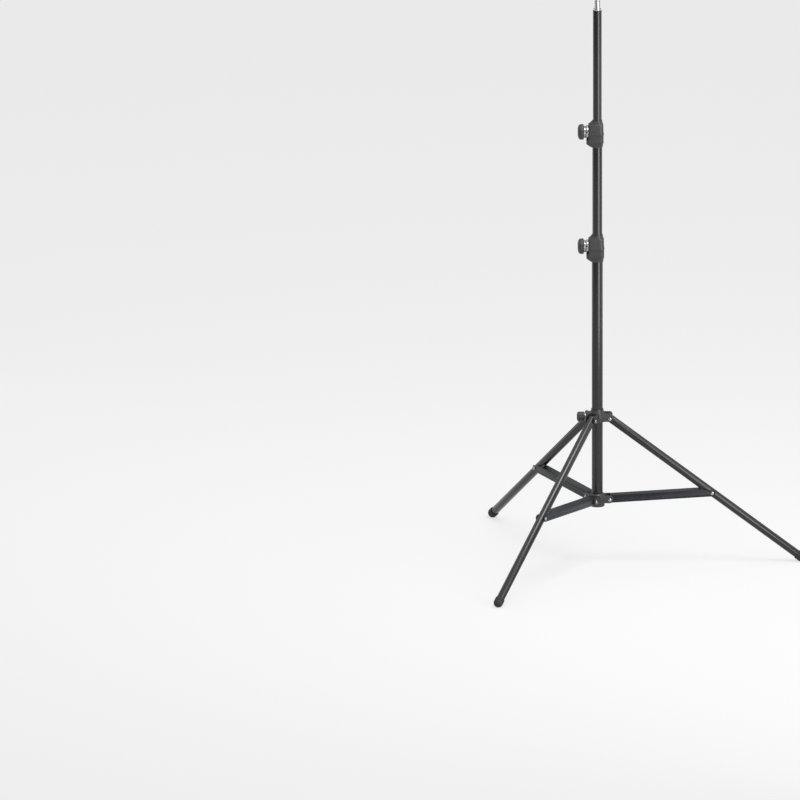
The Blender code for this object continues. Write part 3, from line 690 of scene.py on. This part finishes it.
def screw_hole(tube_r, face):
    """The stepped hole of a clamp screw, along +Z from the column's axis: pad, screw, insert."""
    gap = sizes().gap
    pad_r = 0.0047 + gap
    pad_end = tube_r + 2 * gap + 0.0024
    screw_r = 0.0030 + gap
    insert_r = 0.0055 + gap
    insert_foot = face - 0.0050 - gap
    past = face + 0.0020
    profile = [(0, tube_r / 2), (pad_r, tube_r / 2), (pad_r, pad_end), (screw_r, pad_end),
               (screw_r, insert_foot), (insert_r, insert_foot), (insert_r, past), (0, past)]
    return turned(profile, 32)


class STAND_OT_collars(bpy.types.Operator):
    """Moulds the two clamp collars, with a rib where the tube inside them ends"""
    bl_idname = "light_stand.collars"
    bl_label = "Clamp Collars"

    def execute(self, context):
        s = sizes()
        seat_height, past = 0.0330, 0.002
        for node, body, outer_r, inner_r, screw in (
                ("base_collar", "base", s.base_tube_r, s.middle_tube_r, "base_clamp_screw"),
                ("middle_collar", "middle", s.middle_tube_r, s.top_tube_r, "middle_clamp_screw")):
            low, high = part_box(node)
            seat = low[2] + seat_height
            bore = [(0, low[2] - past), (outer_r + s.gap, low[2] - past), (outer_r + s.gap, seat),
                    (inner_r + s.gap, seat), (inner_r + s.gap, high[2] + past), (0, high[2] + past)]
            hole = placed(screw_hole(inner_r, COLLAR_FACE), screw_place(middle(screw).z))
            mesh = carved(lofted(collar_rings(low[2], outer_r, inner_r)),
                          [("DIFFERENCE", turned(bore, s.sides)), ("DIFFERENCE", hole)], 0.0004)
            piece(f"{body}_moulded_collar", mesh, "plastic", body, [node])
        return {"FINISHED"}


def knob_form(radius, length, flutes, depth, dish):
    """A domed knob with soft flutes, a dished top and a blind bore, from Z 0 up."""
    bore_deep = 0.0103
    per_flute = 14
    sides = flutes * per_flute
    crown = radius * 0.42
    # Each level: its share of the radius, its height and how deep its flutes are
    rings = [(0.90, 0.0, 0.25), (0.955, length * 0.012, 0.5), (0.985, length * 0.035, 0.8),
             (1.0, length * 0.075, 1.0), (1.0, (length - crown) * 0.6, 1.0), (1.0, length - crown, 1.0)]
    for step in range(1, 8):
        angle = math.radians(10.5 * step)
        rings.append((math.cos(angle) ** 0.6, length - crown + crown * math.sin(angle),
                      1.0 - 0.12 * step))
    top = rings[-1][1]
    rings += [(0.46, top + crown * 0.012, 0.0), (0.44, top - dish * 0.6, 0.0), (0.40, top - dish, 0.0)]
    form = bmesh.new()
    loops = []
    for share, height, bite in rings:
        loop = []
        for side in range(sides):
            angle = 2 * math.pi * side / sides
            scallop = (0.5 + 0.5 * math.cos(angle * flutes)) ** 1.6
            reach = radius * share - depth * bite * scallop
            loop.append(form.verts.new((reach * math.cos(angle), reach * math.sin(angle), height)))
        loops.append(loop)
    rim = [form.verts.new((SCREW_BORE_R * math.cos(2 * math.pi * side / sides),
                           SCREW_BORE_R * math.sin(2 * math.pi * side / sides), 0))
           for side in range(sides)]
    floor = [form.verts.new((vert.co.x, vert.co.y, bore_deep)) for vert in rim]
    for lower, upper in zip([floor, rim] + loops, [rim] + loops):
        for side in range(sides):
            after = (side + 1) % sides
            form.faces.new((lower[side], lower[after], upper[after], upper[side]))
    form.faces.new(loops[-1])
    form.faces.new(floor)
    return form


def sleeve_profile(low):
    """The clamp's bright sleeve: two rims and the waist between them."""
    rim, waist, edge = 0.0185, 0.0155, 0.0007
    high = low + 0.0122
    mid = low + 0.00732
    return [(SCREW_BORE_R, low), (rim, low), (rim, mid - 3 * edge), (waist, mid),
            (rim - 2 * edge, mid + 3 * edge), (rim - 2 * edge, high - edge), (rim - 3 * edge, high),
            (SCREW_BORE_R, high)]


class STAND_OT_clamp_knobs(bpy.types.Operator):
    """Turns the clamps' bright sleeves and moulds their fluted knobs"""
    bl_idname = "light_stand.clamp_knobs"
    bl_label = "Clamp Knobs"

    def execute(self, context):
        for clamp, body in (("base_clamp", "base_knob"), ("middle_clamp", "middle_knob")):
            place = screw_place(middle(clamp + "_screw").z)
            face = -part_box(clamp + "_sleeve")[1][0]
            profile = eased(sleeve_profile(face), 0.0005, closed=True)
            ring = turned(profile, sizes().sides, closed=True)
            piece(clamp + "_bright_sleeve", as_mesh(placed(ring, place)), "bright", body,
                  [clamp + "_sleeve"])
            foot = -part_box(clamp + "_knob")[1][0]
            grip = knob_form(radius=0.0215, length=0.0165, flutes=9, depth=0.0016, dish=0.0006)
            grip = placed(grip, place, Matrix.Translation((0, 0, foot)))
            piece(clamp + "_grip", as_mesh(grip), "plastic", body, [clamp + "_knob"])
        return {"FINISHED"}


def hub_sleeve(low, ear_top, skirt_top):
    """A hub's sleeve: straight round the arms, then a hollow flare up the tube."""
    s = sizes()
    chamfer = 0.0012
    thin = s.base_tube_r + s.gap + 0.0012
    points = [(0, low), (s.hub_r - chamfer, low), (s.hub_r, low + chamfer), (s.hub_r, ear_top)]
    for step in range(1, 9):
        share = step / 8
        points.append((thin + (s.hub_r - thin) * (1 - share) ** 2,
                       ear_top + (skirt_top - ear_top) * share))
    return turned(points + [(0, skirt_top)], s.sides)


def hub_solid(level, low, up, down, skirt_top, slot_half, floor_r, extra):
    """A moulded hub whose pivots are at a level: sleeve, three arms, bore, slots and holes."""
    s = sizes()
    pivot = lower_pivot().x
    arm_root, slot_end, past = 0.0030, 0.068, 0.003
    outline = [(arm_root, -down)] + arc((pivot, 0), down, -90, 0, 12)
    outline += arc((pivot, up - down), down, 0, 90, 12) + [(arm_root, up)]
    deep = low - past
    tall = skirt_top + 0.004
    raise_up = Matrix.Translation((0, 0, level))
    arms = []
    slots = []
    for number in (1, 2, 3):
        turn = leg_turn(number)
        arm = extruded(outline, 2 * (slot_half + s.ear))
        arms.append(("UNION", placed(arm, raise_up, turn)))
        box = [(floor_r, deep), (slot_end, deep), (slot_end, tall), (floor_r, tall)]
        slots.append(placed(extruded(box, 2 * slot_half), raise_up, turn))
        slots.append(placed(pin_hole(), raise_up, turn, Matrix.Translation((pivot, 0, 0)), LYING))
    bore = rod(s.base_tube_r + s.gap, level + low - past, level + tall, s.sides)
    steps = arms + extra[:1] + [("DIFFERENCE", bore)]
    steps += [("DIFFERENCE", slot) for slot in slots] + extra[1:]
    # The flare starts just above the arms, so that no faces lie in one plane
    return carved(placed(hub_sleeve(low, up + 0.0006, skirt_top), raise_up), steps, s.edge)


class STAND_OT_foot_hub(bpy.types.Operator):
    """Moulds the fixed hub at the column's foot"""
    bl_idname = "light_stand.foot_hub"
    bl_label = "Foot Hub"

    def execute(self, context):
        s = sizes()
        level = lower_pivot().z
        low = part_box("lower_hub")[0][2] - level
        # The slots clear the web's corners as a brace swings
        floor_r = lower_pivot().x - math.hypot(brace_half(), WEB_FROM) - s.gap
        mesh = hub_solid(level, low, up=0.0120, down=0.0090, skirt_top=0.0170,
                         slot_half=brace_half() + s.gap, floor_r=floor_r, extra=[])
        piece("foot_hub_moulding", mesh, "plastic", "base", ["lower_hub"])
        return {"FINISHED"}


class STAND_OT_sliding_hub(bpy.types.Operator):
    """Moulds the sliding hub and its lock screw's washer and knob"""
    bl_idname = "light_stand.sliding_hub"
    bl_label = "Sliding Hub"

    def execute(self, context):
        s = sizes()
        level = upper_pivot().z
        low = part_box("upper_hub")[0][2] - level
        place = screw_place(middle("lock_screw").z)
        lug_r, washer_r, washer_thick = 0.0085, 0.0100, 0.0028
        lug = placed(rod(lug_r, s.base_tube_r, LOCK_FACE, 48), place)
        hole = placed(screw_hole(s.base_tube_r, LOCK_FACE), place)
        mesh = hub_solid(level, low, up=0.0155, down=0.0078, skirt_top=0.0270,
                         slot_half=s.leg_r + s.gap, floor_r=s.hub_r + s.gap,
                         extra=[("UNION", lug), ("DIFFERENCE", hole)])
        piece("sliding_hub_moulding", mesh, "plastic", "hub", ["upper_hub"])
        face = -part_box("lock_sleeve")[1][0]
        profile = [(SCREW_BORE_R, face), (washer_r, face), (washer_r, face + washer_thick),
                   (SCREW_BORE_R, face + washer_thick)]
        washer = turned(eased(profile, 0.0006, closed=True), 64, closed=True)
        piece("lock_bright_washer", as_mesh(placed(washer, place)), "bright", "lock_knob",
              ["lock_sleeve"])
        foot = -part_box("lock_knob")[1][0]
        grip = knob_form(radius=0.0135, length=0.0210, flutes=10, depth=0.0011, dish=0.0005)
        grip = placed(grip, place, Matrix.Translation((0, 0, foot)))
        piece("lock_grip", as_mesh(grip), "plastic", "lock_knob", ["lock_knob"])
        return {"FINISHED"}


def soft_topped(outline, breadth, bend):
    """An extruded side view whose long upper edges are bent round, as pressed sheet is."""
    form = extruded(outline, breadth)
    near = 1e-6
    top = max(vert.co.z for vert in form.verts)
    edges = [edge for edge in form.edges
             if all(vert.co.z > top - near for vert in edge.verts)
             and abs(edge.verts[0].co.y - edge.verts[1].co.y) < near]
    bmesh.ops.bevel(form, geom=edges, offset=bend, segments=5, affect="EDGES", profile=0.5)
    return form


class STAND_OT_braces(bpy.types.Operator):
    """Presses the three brace channels with round bends"""
    bl_idname = "light_stand.braces"
    bl_label = "Braces"

    def execute(self, context):
        inner = sizes().leg_r + LEG_ROOM
        outer = brace_half()
        span = brace_span()
        skirt = 0.0086
        web_to = span - 0.0345
        outline = arc((0, 0), skirt, 270, 150, 12) + [(WEB_FROM, outer), (web_to, outer)]
        outline += arc((span, 0), skirt, 60, -90, 16)
        # The cutters reach well past the sheet
        before, past, below, above = -0.018, span + 0.018, -0.018, 0.028
        hollow = [(before, below), (past, below), (past, inner), (before, inner)]
        near_end = [(before, 0), (WEB_FROM, 0), (WEB_FROM, above), (before, above)]
        far_end = [(web_to, 0), (past, 0), (past, above), (web_to, above)]
        for number in (1, 2, 3):
            steps = [("DIFFERENCE", soft_topped(hollow, 2 * inner, 0.0010)),
                     ("DIFFERENCE", extruded(near_end, 2 * inner)),
                     ("DIFFERENCE", extruded(far_end, 2 * inner))]
            for at in (0, span):
                hole = placed(pin_hole(), Matrix.Translation((at, 0, 0)), LYING)
                steps.append(("DIFFERENCE", hole))
            mesh = carved(soft_topped(outline, 2 * outer, 0.0022), steps, 0.00025)
            mesh.transform(brace_place(number))
            piece(f"brace_channel_{number}", mesh, "pressed", f"brace_{number}", [f"brace_{number}"])
        return {"FINISHED"}


class STAND_OT_legs(bpy.types.Operator):
    """Draws the three leg tubes and moulds their head plugs"""
    bl_idname = "light_stand.legs"
    bl_label = "Legs"

    def execute(self, context):
        s = sizes()
        above_pivot, stem_long, rim_high, dome_high = 0.0060, 0.0200, 0.0010, 0.0040
        head = leg_rise() + above_pivot
        foot = leg_rise() - LEG_DOWN
        for number in (1, 2, 3):
            hole = placed(pin_hole(0.020), LYING)
            mesh = carved(tube_form(s.leg_r, foot, head, 64), [("DIFFERENCE", hole)])
            mesh.transform(leg_place(number))
            piece(f"leg_drawn_tube_{number}", mesh, "tube", f"leg_{number}", [f"leg_tube_{number}"])
            stem = s.leg_r - s.wall - s.gap
            rim = head + s.gap
            profile = [(0, head - stem_long), (stem, head - stem_long), (stem, rim), (s.leg_r, rim)]
            profile += dome(s.leg_r, rim + rim_high, dome_high, 15)
            plug = turned(eased(profile + [(0, rim + 0.0050)], 0.0003), 64)
            piece(f"leg_head_plug_{number}", as_mesh(placed(plug, leg_place(number))), "plastic",
                  f"leg_{number}", [f"leg_head_{number}"])
        return {"FINISHED"}


class STAND_OT_feet(bpy.types.Operator):
    """Moulds the rubber feet with grip grooves and a worn flat"""
    bl_idname = "light_stand.feet"
    bl_label = "Feet"

    def execute(self, context):
        s = sizes()
        top = leg_rise() - LEG_DOWN
        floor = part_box("foot_1")[0][2]
        stem = s.leg_r - s.wall - s.gap
        stem_top = top + 0.0160
        centre = top - 0.0125
        rim = top - s.gap
        ball_r, groove_r = 0.0130, 0.0125
        # Three grip grooves 2.4 mm apart, 1.2 mm wide and 0.5 mm deep
        grooves = []
        for at in (0.0024, 0.0048, 0.0072):
            grooves += [(ball_r, centre + at - 0.0006), (groove_r, centre + at - 0.0003),
                        (groove_r, centre + at + 0.0003), (ball_r, centre + at + 0.0006)]
        profile = arc((0, centre), ball_r, -90, 0, 18) + grooves
        profile += [(ball_r, rim), (stem, rim), (stem, stem_top), (0, stem_top)]
        half, deep = 0.9, -0.5
        slab = [(-half, deep), (half, deep), (half, floor), (-half, floor)]
        for number in (1, 2, 3):
            form = placed(turned(eased(profile, 0.0005, steps=2), 64), leg_place(number))
            mesh = carved(form, [("DIFFERENCE", extruded(slab, 2 * half))])
            piece(f"rubber_foot_{number}", mesh, "rubber", f"leg_{number}", [f"foot_{number}"])
        return {"FINISHED"}


def rivet_head(face):
    """Half a rivet from its middle to a domed head on a face."""
    s = sizes()
    rim = 0.0007
    crown = dome(s.rivet_head_r, face + rim, s.rivet_head - rim, 18)
    return [(s.rivet_head_r, face)] + crown + [(0, face + s.rivet_head)]


def through_rivet(face):
    """A rivet with a head on both faces, its length along Y."""
    half = rivet_head(face)
    shank = [(sizes().rivet_r, -face), (sizes().rivet_r, face)]
    profile = [(radius, -height) for radius, height in reversed(half)] + shank + half
    return placed(turned(profile, 32), LYING)


def ear_pin(low, face, side):
    """A headed pin in one ear, its length along Y."""
    r = sizes().rivet_r
    form = turned([(0, low), (r, low), (r, face)] + rivet_head(face), 32)
    return placed(form, Matrix.Rotation(-side * math.pi / 2, 4, "X"))


class STAND_OT_rivets(bpy.types.Operator):
    """Sets the bright rivets of both hubs and of the braces"""
    bl_idname = "light_stand.rivets"
    bl_label = "Rivets"

    def execute(self, context):
        s = sizes()
        outer = brace_half()
        lower = through_rivet(outer + 2 * s.gap + s.ear)
        mesh = copied_round(placed(lower, Matrix.Translation(lower_pivot())), 3, "bright")
        piece("foot_hub_rivets", mesh, "bright", "base", [f"hub_rivet_{n}" for n in (1, 2, 3)])
        ear = s.leg_r + s.gap
        pins = joined(*[ear_pin(ear, ear + s.ear + s.gap, side) for side in (1, -1)])
        mesh = copied_round(placed(pins, Matrix.Translation(upper_pivot())), 3, "bright")
        nodes = [f"leg_pin_{n}_{side}" for n in (1, 2, 3) for side in ("left", "right")]
        piece("sliding_hub_pins", mesh, "bright", "hub", nodes)
        for number in (1, 2, 3):
            rivet = placed(through_rivet(outer + s.gap), brace_place(number),
                           Matrix.Translation((brace_span(), 0, 0)))
            piece(f"brace_bright_rivet_{number}", as_mesh(rivet), "bright", f"brace_{number}",
                  [f"brace_rivet_{number}"])
        return {"FINISHED"}


class STAND_OT_spigot(bpy.types.Operator):
    """Turns the spigot and moulds the cap that holds it and the plugs in the tubes' feet"""
    bl_idname = "light_stand.spigot"
    bl_label = "Spigot and Plugs"

    def execute(self, context):
        s = sizes()
        low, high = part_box("spigot")
        tang_r, flange_r, stud_r, neck_r, tip_r, chamfer = 0.0050, 0.0104, 0.0080, 0.0064, 0.0073, 0.0007
        flange_low = low[2] + 0.0220
        flange_high = flange_low + 0.0045
        top = high[2]
        neck_high = top - 0.0030
        neck_low = neck_high - 0.0022
        profile = [(0, low[2]), (tang_r, low[2]), (tang_r, flange_low), (flange_r, flange_low),
                   (flange_r, flange_high), (stud_r, flange_high), (stud_r, neck_low - chamfer),
                   (neck_r, neck_low), (neck_r, neck_high), (stud_r, neck_high + chamfer),
                   (stud_r, top - chamfer), (tip_r, top), (0, top)]
        stud = turned(eased(profile, 0.0005), s.sides)
        piece("spigot_stud", as_mesh(stud), "bright", "top", ["spigot"])
        low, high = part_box("spigot_cap")
        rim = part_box("top_tube")[1][2] + s.gap
        stem = s.top_tube_r - s.wall - s.gap
        bore_r = 0.0053
        profile = [(s.top_tube_r, rim), (s.top_tube_r, high[2]), (bore_r, high[2]), (bore_r, low[2]),
                   (stem, low[2]), (stem, rim)]
        cap = turned(eased(profile, 0.0006, closed=True), s.sides, closed=True)
        piece("spigot_cap_ring", as_mesh(cap), "plastic", "top", ["spigot_cap"])
        plug_rim = 0.0030
        for node, body, radius in (("base_plug", "base", s.base_tube_r),
                                   ("middle_plug", "middle", s.middle_tube_r),
                                   ("top_plug", "top", s.top_tube_r)):
            low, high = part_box(node)
            rim = low[2] + plug_rim - s.gap
            stem = radius - s.wall - s.gap
            profile = [(0, low[2]), (radius, low[2]), (radius, rim), (stem, rim), (stem, high[2]),
                       (0, high[2])]
            plug = turned(eased(profile, 0.0006), s.sides)
            piece(f"{body}_foot_plug", as_mesh(plug), "plastic", body, [node])
        return {"FINISHED"}


class STAND_OT_inner_parts(bpy.types.Operator):
    """Finishes the screws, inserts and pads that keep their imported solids"""
    bl_idname = "light_stand.inner_parts"
    bl_label = "Inner Parts"

    def execute(self, context):
        for clamp in ("base_clamp", "middle_clamp", "lock"):
            for part, finish in (("screw", "zinc"), ("insert", "brass"), ("pad", "pad")):
                node = frame["nodes"][f"{clamp}_{part}"]
                for held in node.material_slots:
                    held.material = finish_of(finish)
        return {"FINISHED"}


def aimed(name, data, target, azimuth, elevation, distance):
    """Links a lamp or a camera that looks at a point. Azimuth 0 is the front, -Y, and 90 is +X."""
    back = Vector((math.sin(azimuth) * math.cos(elevation), -math.cos(azimuth) * math.cos(elevation),
                   math.sin(elevation)))
    made = linked(name, data)
    made.location = Vector(target) + back * distance
    made.rotation_euler = (-back).to_track_quat("-Z", "Y").to_euler()
    return made


def softbox(name, azimuth, elevation, distance, wide, tall, level, spread=math.pi):
    """An area lamp aimed at the stand's middle, with its angles in degrees."""
    lamp = bpy.data.lights.new(name, "AREA")
    lamp.shape = "RECTANGLE"
    lamp.size = wide
    lamp.size_y = tall
    lamp.spread = spread
    # A grid before the lamp narrows its light, which Blender makes up for
    lamp.energy = level * math.pi * wide * tall * (1 - spread / 2 / math.tan(spread / 2))
    aimed(name, lamp, (0, 0, 0.9), math.radians(azimuth), math.radians(elevation), distance)


def pale_floor():
    """A pale floor: eyes and mirrors see it evenly lit, and it still takes the stand's shadow."""
    made, tree, shader = new_material("pale_studio_floor")
    glow_share = 0.78
    shader.inputs["Base Color"].default_value = linear(colours().floor)
    shader.inputs["Roughness"].default_value = 0.9
    shader.inputs["Specular IOR Level"].default_value = 0.0
    glow = add(tree, "ShaderNodeEmission", {"Color": linear(colours().floor_seen), "Strength": 1.0})
    ray = add(tree, "ShaderNodeLightPath")
    seen = add(tree, "ShaderNodeMath", {0: ray.outputs["Is Camera Ray"], 1: ray.outputs["Is Glossy Ray"]},
               operation="ADD")
    seen = add(tree, "ShaderNodeMath", {0: seen.outputs[0], 1: ray.outputs["Is Transmission Ray"]},
               operation="ADD", use_clamp=True)
    share = add(tree, "ShaderNodeMath", {0: seen.outputs[0], 1: glow_share}, operation="MULTIPLY")
    mixed = add(tree, "ShaderNodeMixShader", {0: share.outputs[0], 1: shader.outputs[0],
                                              2: glow.outputs[0]})
    tree.links.new(mixed.outputs[0], tree.nodes["Material Output"].inputs[0])
    return made


def studio_world():
    """Light from the room: a bright ceiling and dim walls."""
    made = bpy.data.worlds.new("studio")
    made.use_nodes = True
    tree = made.node_tree
    place = add(tree, "ShaderNodeTexCoord").outputs["Generated"]
    axes = add(tree, "ShaderNodeSeparateXYZ", {0: place})
    level = add(tree, "ShaderNodeMapRange", {"Value": axes.outputs["Z"], "From Min": 0.05,
                                             "From Max": 0.85, "To Min": 0.16, "To Max": 1.20},
                interpolation_type="SMOOTHSTEP")
    ground = tree.nodes["Background"]
    ground.inputs["Color"].default_value = linear(colours().room)
    tree.links.new(level.outputs[0], ground.inputs["Strength"])
    return made


class STAND_OT_stage(bpy.types.Operator):
    """Lays the pale floor and sets the soft lamps, the world and the camera"""
    bl_idname = "light_stand.stage"
    bl_label = "Stage"

    def execute(self, context):
        scene = context.scene
        view = scene.stand_stage
        floor_half, below_feet, camera_distance = 20.0, 0.0002, 6
        form = bmesh.new()
        bmesh.ops.create_grid(form, x_segments=2, y_segments=2, size=floor_half)
        floor = linked("studio_floor", as_mesh(form))
        floor.location = (0, 0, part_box("foot_1")[0][2] - below_feet)
        floor.data.materials.append(pale_floor())

        grid = math.radians(100)
        # Name, azimuth, elevation, distance, width, height and level
        softbox("key", 35, 4, 2.6, 1.9, 2.3, 6.2, grid)
        softbox("right", 112, 4, 2.5, 1.6, 2.3, 1.2, grid)
        softbox("left back", -122, 4, 2.6, 1.9, 2.3, 1.3, grid)
        softbox("top", 52, 65, 3.0, 1.9, 1.9, 9.0)

        scene.world = studio_world()

        lens = bpy.data.cameras.new("camera")
        lens.type = "ORTHO"
        lens.ortho_scale = view.view_width
        lens.clip_end = 60.0
        scene.camera = aimed("camera", lens, (view.target_x, 0, view.target_z), view.azimuth,
                             view.elevation, camera_distance)
        scene.view_settings.view_transform = "Standard"
        return {"FINISHED"}


OPERATORS = (STAND_OT_column_tubes, STAND_OT_collars, STAND_OT_clamp_knobs, STAND_OT_foot_hub,
             STAND_OT_sliding_hub, STAND_OT_braces, STAND_OT_legs, STAND_OT_feet, STAND_OT_rivets,
             STAND_OT_spigot, STAND_OT_inner_parts, STAND_OT_stage)


class STAND_PT_panel(bpy.types.Panel):
    """Lists the stand's pieces and sizes"""
    bl_idname = "STAND_PT_panel"
    bl_label = "Light Stand"
    bl_space_type = "VIEW_3D"
    bl_region_type = "UI"
    bl_category = "Light Stand"

    def draw(self, context):
        for operator in OPERATORS:
            self.layout.operator(operator.bl_idname)
        for group in (context.scene.stand_sizes, context.scene.stand_colours, context.scene.stand_stage):
            box = self.layout.box()
            for key in group.__annotations__:
                box.prop(group, key)


CLASSES = (StandSizes, StandColours, StageSettings, *OPERATORS, STAND_PT_panel)


def register():
    """Registers the classes and the scene's settings."""
    for item in CLASSES:
        bpy.utils.register_class(item)
    bpy.types.Scene.stand_sizes = bpy.props.PointerProperty(type=StandSizes)
    bpy.types.Scene.stand_colours = bpy.props.PointerProperty(type=StandColours)
    bpy.types.Scene.stand_stage = bpy.props.PointerProperty(type=StageSettings)


def unregister():
    """Takes them away again."""
    del bpy.types.Scene.stand_stage
    del bpy.types.Scene.stand_colours
    del bpy.types.Scene.stand_sizes
    for item in reversed(CLASSES):
        bpy.utils.unregister_class(item)


def main():
    """Makes every piece."""
    register()
    for operator in OPERATORS:
        group, name = operator.bl_idname.split(".")
        getattr(getattr(bpy.ops, group), name)()


if __name__ == "__main__":
    main()
